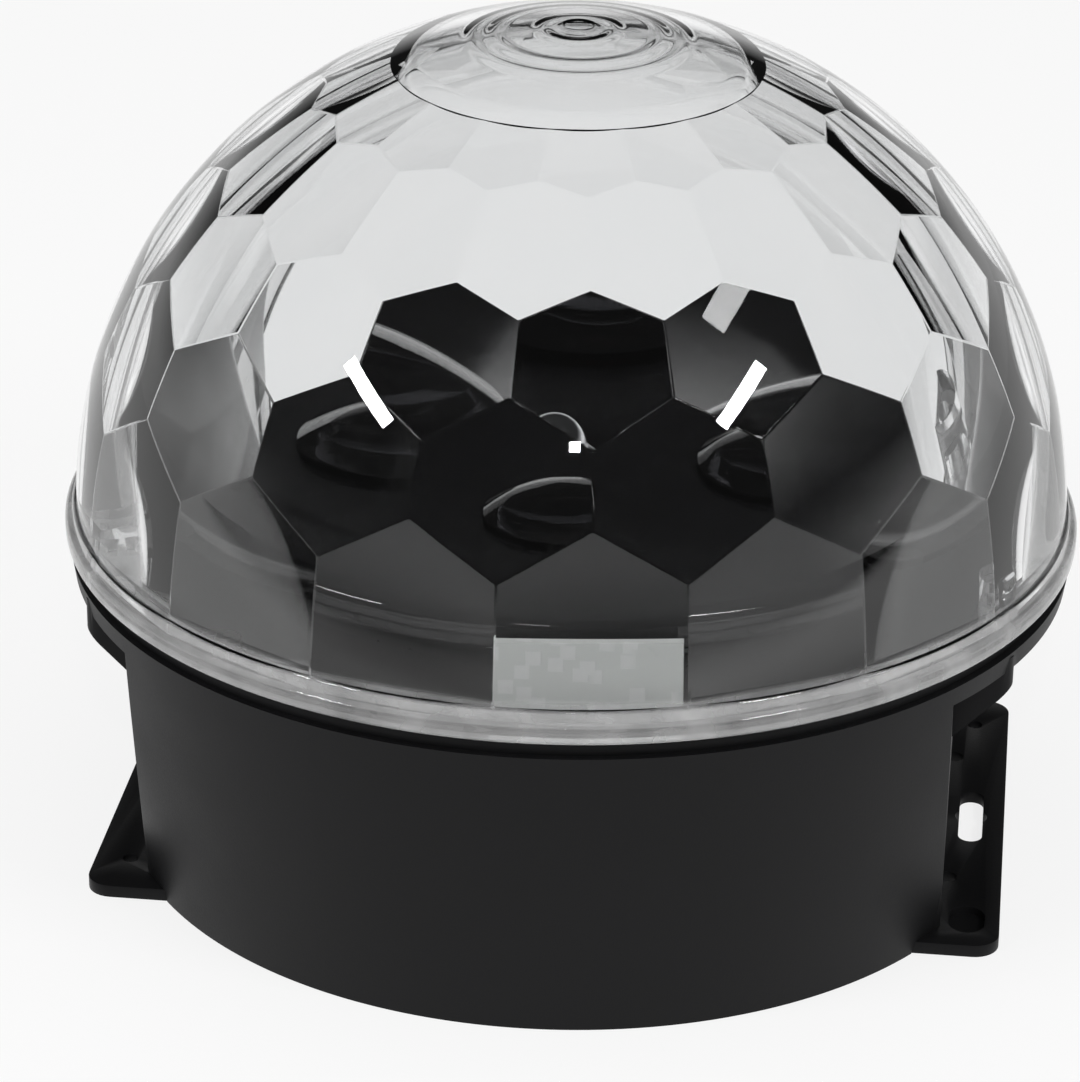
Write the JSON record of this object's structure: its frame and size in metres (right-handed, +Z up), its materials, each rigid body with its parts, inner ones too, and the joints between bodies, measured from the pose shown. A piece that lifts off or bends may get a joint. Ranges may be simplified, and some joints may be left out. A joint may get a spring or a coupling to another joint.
{
  "type": "led disco ball light",
  "caption": "Table-top disco light: a clear faceted dome over a spinning lens dish and colour lamps, on a short black drum with keyhole ears.",
  "frame": {"origin": "middle of the underside of the bottom plate, on the surface the light stands on", "axes": "+Z up along the dome's axis, -Y towards the front of the drum, fittings on the +Y side"},
  "size_m": [0.2, 0.2, 0.1667],
  "materials": {
    "clear_plastic": "clear, polished",
    "clear_lens": "clear, polished",
    "black_plastic": "fine satin grain",
    "black_gloss": "polished black",
    "grey_plastic": "plain",
    "white_plastic": "plain",
    "white_board": "lacquered",
    "green_board": "lacquered",
    "rubber": "matt",
    "steel": "zinc plated",
    "motor_steel": "plated sheet",
    "chrome": "bright",
    "aluminium": "as cast",
    "brass": "plated",
    "copper": "lacquered winding",
    "blue_sleeve": "shrink sleeve",
    "dark_lens": "smoked lens",
    "red_lamp": "tinted",
    "green_lamp": "tinted",
    "blue_lamp": "tinted"
  },
  "bodies": {
    "stand": {"dome": "clear_plastic", "dome_gasket": "rubber", "dome_screws": "steel", "housing": "black_plastic", "base_plate": "black_plastic", "base_screws": "steel", "deck": "black_gloss", "deck_screws": "steel", "heat_sink": "aluminium", "lamp_board": "white_board", "red_lamps": "red_lamp", "green_lamps": "green_lamp", "blue_lamps": "blue_lamp", "reflector_cups": "chrome", "motor": "motor_steel", "motor_spacers": "grey_plastic", "motor_screws": "steel", "receiver_board": "white_board", "receiver_foot": "black_plastic", "receiver_eye": "dark_lens", "receiver_lamps": "red_lamp", "power_board": "green_board", "power_board_posts": "grey_plastic", "transformer": "copper", "capacitors": "blue_sleeve", "control_board": "green_board", "control_board_posts": "grey_plastic", "control_chips": "black_plastic", "board_sockets": "white_plastic", "mains_inlet": "black_gloss", "inlet_blades": "brass", "switch_frame": "black_gloss", "fuse_holder": "black_plastic", "fuse_cap": "black_plastic", "sensitivity_control": "motor_steel", "microphone": "motor_steel"},
    "rotor": {"motor_shaft": "steel", "lens_carrier": "black_gloss", "carrier_lenses": "clear_lens", "carrier_nut": "chrome"},
    "rocker": {"switch_rocker": "black_gloss"},
    "knob": {"sensitivity_knob": "black_plastic"}
  },
  "joints": [
    {"name": "rotor_spin", "type": "hinge", "parent": "stand", "child": "rotor", "pos_m": [0, 0, 0.08], "axis": [0, 0, 1], "continuous": true},
    {"name": "switch_rock", "type": "hinge", "parent": "stand", "child": "rocker", "pos_m": [0.005, 0.07913, 0.031], "axis": [1, 0, 0], "range_deg": [-18, 0]},
    {"name": "knob_turn", "type": "hinge", "parent": "stand", "child": "knob", "pos_m": [0.034, 0.09, 0.031], "axis": [0, 1, 0], "range_deg": [-135, 135]}
  ]
}
